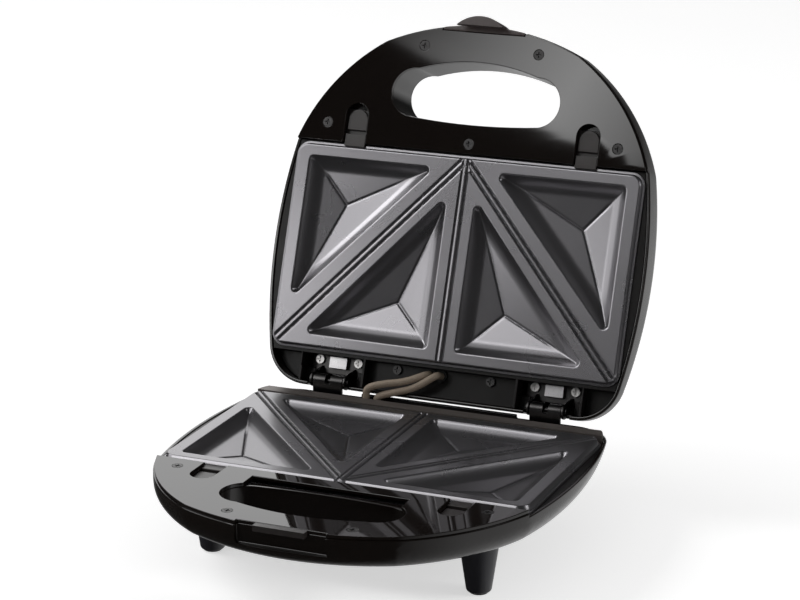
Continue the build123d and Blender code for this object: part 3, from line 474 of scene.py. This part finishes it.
def cook_plate(name):
    """The plate facing up, with x across it, y towards the hinge and z up from the parting face."""
    plate, points = face_grid(*plate_face, 0)
    plate.name = name
    points[:, 2] = -face_drop - plate_depth(points[:, 0], plate_middle - points[:, 1])
    set_points(plate.data, points)
    rim = None
    for out, drop in rim_steps:
        before = len(plate.data.vertices)
        bpy.ops.object.mode_set(mode="EDIT")
        bpy.ops.mesh.select_mode(type="VERT")
        bpy.ops.mesh.select_all(action="DESELECT")
        bpy.ops.mesh.select_non_manifold(
            use_wire=False, use_multi_face=False, use_non_contiguous=False, use_verts=False,
        )
        bpy.ops.mesh.extrude_region_move()
        bpy.ops.object.mode_set(mode="OBJECT")
        points = get_points(plate.data)
        added = points[before:]
        if rim is None:
            rim = added[:, :2].copy()
            outwards = outward_of(rim[:, 0], rim[:, 1], plate_half, plate_half_y, plate_corner)
            rim_out = np.stack(outwards, axis=1)
            order = np.arange(len(rim))
        else:
            order = order[np.hypot(*(added[:, None, :2] - last[None]).transpose(2, 0, 1)).argmin(axis=1)]
        added[:, :2] = rim[order] + rim_out[order] * out
        added[:, 2] = -drop
        last = added[:, :2].copy()
        set_points(plate.data, points)
    under, points = face_grid(*under_face, under_inset)
    points[:, 2] = -under_drop - np.clip(plate_depth(points[:, 0], plate_middle - points[:, 1]), 0, None)
    set_points(under.data, points)
    bpy.ops.object.mode_set(mode="EDIT")
    bpy.ops.mesh.select_all(action="SELECT")
    bpy.ops.mesh.flip_normals()
    bpy.ops.object.mode_set(mode="OBJECT")
    plate.select_set(True)
    bpy.context.view_layer.objects.active = plate
    bpy.ops.object.join()
    bpy.ops.object.shade_smooth_by_angle(angle=radians(50))
    plate.data.transform(Matrix.Translation((0, -plate_middle, 0)))
    return plate


non_stick, plate_shader, plate_place = new_finish("non_stick", {"Specular IOR Level": 0.6})
plate_fleck = plate_place.noise(5200, 2, 0.6).between(0.56, 0.72)
plate_cloud = plate_place.noise(22, 4)
plate_tint = plate_fleck * 0.5 + plate_cloud * 0.5
feed(plate_shader, {
    "Base Color": plate_tint.blend((0.19, 0.185, 0.195, 1), (0.26, 0.254, 0.266, 1)),
    "Metallic": plate_fleck * -0.1 + 0.86,
    "Roughness": plate_cloud * 0.06 + 0.25,
    "Normal": plate_place.noise(1500, 2).bump(0.000005),
})
hinge_axis_place = (0, 0.0613, 0.0597)
parting_place = (0, 0.0613, 0.055)
half_gap = 0.0047
lid_turn = radians(-110.6)
to_base = Matrix.Translation(parting_place)
open_lid = Matrix.Translation(hinge_axis_place) @ Matrix.Rotation(lid_turn, 4, "X")
to_lid = open_lid @ Matrix.Translation((0, 0, -half_gap)) @ Matrix.Rotation(radians(180), 4, "Y")
for body, place in (("base", to_base), ("lid", to_lid)):
    plate = cook_plate(body + "_plate_casting")
    plate.data.transform(place)
    plate.data.materials.append(non_stick)
    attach(plate, body)
    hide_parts(body + "_plate")

# Heat trays: shallow pans pressed from bright aluminium sheet, screwed under the plates.
# They throw the heat of the elements at them.
tray_sheet, tray_shader, tray_place = new_finish("tray_sheet", {"Metallic": 1.0})
feed(tray_shader, {
    "Base Color": tray_place.noise(35, 3).blend((0.62, 0.62, 0.61, 1), (0.74, 0.74, 0.73, 1)),
    "Roughness": tray_place.noise(400, 3, 0.6, (1, 14, 1)) * 0.25 + 0.22,
})
paint(("base_heat_tray", "lid_heat_tray"), tray_sheet)

# Elements: bent steel tubes with a straw and blue heat tint, held between tray and plate.
# The sleeves on their pins and the thermostat's body are unglazed ceramic.
element_steel, element_shader, element_place = new_finish("element_steel", {"Metallic": 0.9})
feed(element_shader, {
    "Base Color": element_place.noise(55, 3).blend((0.24, 0.20, 0.16, 1), (0.26, 0.27, 0.31, 1)),
    "Roughness": element_place.noise(240, 3) * 0.2 + 0.38,
})
paint(("base_element", "lid_element"), element_steel)
ceramic, ceramic_shader, ceramic_place = new_finish("ceramic_bead", {"Specular IOR Level": 0.4})
feed(ceramic_shader, {
    "Base Color": ceramic_place.noise(500, 3).blend((0.74, 0.70, 0.62, 1), (0.82, 0.79, 0.72, 1)),
    "Roughness": ceramic_place.noise(900, 2) * 0.15 + 0.6,
})
paint(("base_element_insulators", "lid_element_insulators", "thermostat"), ceramic)

# Plate clips: satin black mouldings that slide in the panels and hold the plates by their flanges.
# The catch bar in the base's front recess, which the latch hooks under, is moulded in the same plastic.
clip_plastic, clip_shader, clip_place = new_finish("clip_plastic", {"Specular IOR Level": 0.5})
feed(clip_shader, {
    "Base Color": clip_place.noise(90, 3).blend((0.024, 0.020, 0.019, 1), (0.034, 0.029, 0.027, 1)),
    "Roughness": clip_place.noise(200, 2) * 0.12 + 0.3,
    "Normal": clip_place.noise(3000, 1).bump(0.00001),
})
for node in ("base_clip_left", "base_clip_right", "lid_clip_left", "lid_clip_right"):
    rounded(node, 0.0004, clip_plastic)
paint(("catch_bar",), clip_plastic)

# Latch: one semi-gloss brown-black moulding with a domed grip and a hook.
# It turns on a steel pin in the lid, against a leaf spring.
latch_plastic, latch_shader, latch_place = new_finish("latch_plastic", {"Specular IOR Level": 0.5})
feed(latch_shader, {
    "Base Color": latch_place.noise(70, 3).blend((0.055, 0.042, 0.040, 1), (0.075, 0.058, 0.055, 1)),
    "Roughness": latch_place.noise(160, 2) * 0.1 + 0.24,
})
rounded("latch", 0.0006, latch_plastic)

# Screws: blackened countersunk ones in the panels and frames, and zinc-plated ones elsewhere.
# The latch's pin and spring and the bright heads on the hinge brackets are zinc-plated too.
black_screw, screw_shader, screw_place = new_finish("black_screw", {"Metallic": 0.7})
feed(screw_shader, {
    "Base Color": screw_place.noise(900, 2).blend((0.035, 0.034, 0.034, 1), (0.07, 0.068, 0.068, 1)),
    "Roughness": screw_place.noise(2200, 2) * 0.15 + 0.3,
})
paint(("base_panel_screws", "lid_panel_screws", "base_frame_screws", "lid_frame_screws"), black_screw)
zinc_steel, zinc_shader, zinc_place = new_finish("zinc_steel", {"Metallic": 1.0})
feed(zinc_shader, {
    "Base Color": zinc_place.noise(300, 3).blend((0.48, 0.47, 0.46, 1), (0.62, 0.61, 0.6, 1)),
    "Roughness": zinc_place.noise(1200, 3) * 0.18 + 0.24,
})
paint((
    "base_tray_screws", "lid_tray_screws", "foot_screws", "latch_pin", "latch_spring", "hinge_bracket_screws",
), zinc_steel)

# Hinges: folded steel leaves on the base and brackets on the lid, turning on pins, their steel painted dark as
# painted shade.
# The raised tongue in the middle of each bracket is painted bright, a painted highlight where it catches the
# light.
tongue_middle, tongue_half = 0.06975, 0.0058
tongue_from, tongue_to = 0.0855, 0.0925
tongue_blur = 0.0002
hinge_steel, hinge_shader, hinge_place = new_finish("hinge_steel", {"Metallic": 1.0})
hinge_up = hinge_place.along((0, 0.352, 0.936))
beside_tongue = abs(abs(hinge_place.node("SeparateXYZ", {}, {0: hinge_place})) - tongue_middle)
tongue = 1 - beside_tongue.between(tongue_half - 0.0003, tongue_half + tongue_blur)
tongue = tongue * hinge_up.between(tongue_from - tongue_blur, tongue_from + tongue_blur)
tongue = tongue * (1 - hinge_up.between(tongue_to - tongue_blur, tongue_to + tongue_blur))
# Two tones of the one steel: painted shade for most of it, and a painted highlight on the tongue.
hinge_painted_shade = hinge_place.noise(160, 3).blend((0.035, 0.034, 0.034, 1), (0.07, 0.068, 0.067, 1))
tongue_painted_highlight = hinge_place.noise(160, 3).blend((0.52, 0.51, 0.52, 1), (0.62, 0.61, 0.62, 1))
feed(hinge_shader, {
    "Base Color": tongue.blend(hinge_painted_shade, tongue_painted_highlight),
    "Roughness": hinge_place.noise(900, 3, 0.6, (10, 1, 1)) * 0.16 + 0.22,
})
for node in ("hinge_leaf_left", "hinge_leaf_right", "hinge_bracket_left", "hinge_bracket_right"):
    rounded(node, 0.00018, hinge_steel)
paint(("hinge_leaf_screws", "hinge_pins"), hinge_steel)

# Feet: tapered stubs moulded in satin blue-black plastic, screwed on from below through rubber pads.
# The bushes of the joining lead and the inlet of the mains lead are rubber too.
foot_plastic, foot_shader, foot_place = new_finish("foot_plastic", {"Specular IOR Level": 0.5})
feed(foot_shader, {
    "Base Color": foot_place.noise(50, 3).blend((0.016, 0.016, 0.020, 1), (0.024, 0.024, 0.03, 1)),
    "Roughness": foot_place.noise(120, 2) * 0.12 + 0.34,
    "Normal": foot_place.noise(2400, 1).bump(0.00001),
})
rounded("feet", 0.0009, foot_plastic)
rubber, rubber_shader, rubber_place = new_finish("foot_rubber", {"Specular IOR Level": 0.3})
feed(rubber_shader, {
    "Base Color": rubber_place.noise(120, 3).blend((0.016, 0.016, 0.016, 1), (0.03, 0.03, 0.029, 1)),
    "Roughness": rubber_place.noise(300, 2) * 0.15 + 0.68,
})
paint(("foot_pads", "lead_inlet", "lead_bush_base", "lead_bush_lid"), rubber)

# Joining lead: two strands in braided glass-fibre sleeves, beige-brown, from the base to the lid's trough.
# A bush holds each end, and the strands are drawn in one fixed curve between them. The fuse lies in the same
# sleeve.
sleeve, sleeve_shader, sleeve_place = new_finish("lead_sleeve", {"Specular IOR Level": 0.35})
feed(sleeve_shader, {
    "Base Color": sleeve_place.noise(1400, 3).blend((0.22, 0.17, 0.125, 1), (0.40, 0.33, 0.26, 1)),
    "Roughness": sleeve_place.noise(800, 2) * 0.1 + 0.6,
    "Normal": sleeve_place.noise(2200, 2).bump(0.0001),
})
paint(("thermal_fuse",), sleeve)
strand_radius = 0.0022
strand_routes_mm = (
    ((-43.7, 56.5, 48.6), (-43.7, 56.5, 54.5), (-43.7, 56.5, 60.2), (-33, 57.1, 63.9), (-20, 59.8, 65.7),
     (-8, 65.85, 70.38), (-8, 70.4, 68.7), (-8, 74.65, 67.08)),
    ((-36.6, 56.5, 48.6), (-36.6, 56.5, 52.2), (-36.6, 56.5, 55.6), (-27, 56.3, 59.1), (-13.5, 60.3, 62.4),
     (-1.5, 63.98, 71.09), (-1.5, 69, 69.2), (-1.5, 74.65, 67.08)),
)
for number, route_mm in enumerate(strand_routes_mm):
    route = [tuple(part / 1000 for part in point) for point in route_mm]
    line = bpy.data.curves.new(f"strand_line_{number}", "CURVE")
    line.dimensions = "3D"
    spline = line.splines.new("NURBS")
    spline.points.add(len(route) - 1)
    for point, place in zip(spline.points, route):
        point.co = (*place, 1)
    spline.order_u = 3
    spline.use_endpoint_u = True
    spline.resolution_u = 12
    line.bevel_depth = strand_radius
    line.bevel_resolution = 6
    line.use_fill_caps = True
    drawn = bpy.data.objects.new(f"strand_drawn_{number}", line)
    bpy.context.scene.collection.objects.link(drawn)
    bpy.context.view_layer.update()
    tube = bpy.data.meshes.new_from_object(drawn.evaluated_get(bpy.context.evaluated_depsgraph_get()))
    bpy.data.objects.remove(drawn)
    strand = bpy.data.objects.new(f"lead_strand_{number}", tube)
    bpy.context.scene.collection.objects.link(strand)
    strand.data.materials.clear()
    strand.data.materials.append(sleeve)
    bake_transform(strand)
    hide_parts("joining_lead")

# Lamps: two small neon tubes in a holder inside the lid.
# They shine through a green and a red lens in its top, moulded in clear tinted plastic.
for colour, node, shade in (
    ("green_lens", "lamp_lens_green", (0.03, 0.30, 0.08)), ("red_lens", "lamp_lens_red", (0.42, 0.025, 0.02)),
):
    lens_finish, lens_shader, lens_place = new_finish(colour, {"Specular IOR Level": 0.6, "IOR": 1.49})
    light, dark = (*shade, 1), (*(0.7 * part for part in shade), 1)
    feed(lens_shader, {
        "Base Color": lens_place.noise(300, 2).blend(light, dark),
        "Roughness": lens_place.noise(500, 2) * 0.05 + 0.06,
    })
    paint((node,), lens_finish)
lamp_glass, glass_shader, glass_place = new_finish("lamp_glass", {"IOR": 1.5})
feed(glass_shader, {
    "Base Color": glass_place.noise(400, 2).blend((0.6, 0.42, 0.3, 1), (0.75, 0.55, 0.4, 1)),
    "Roughness": glass_place.noise(300, 2) * 0.05 + 0.08,
})
paint(("lamps",), lamp_glass)
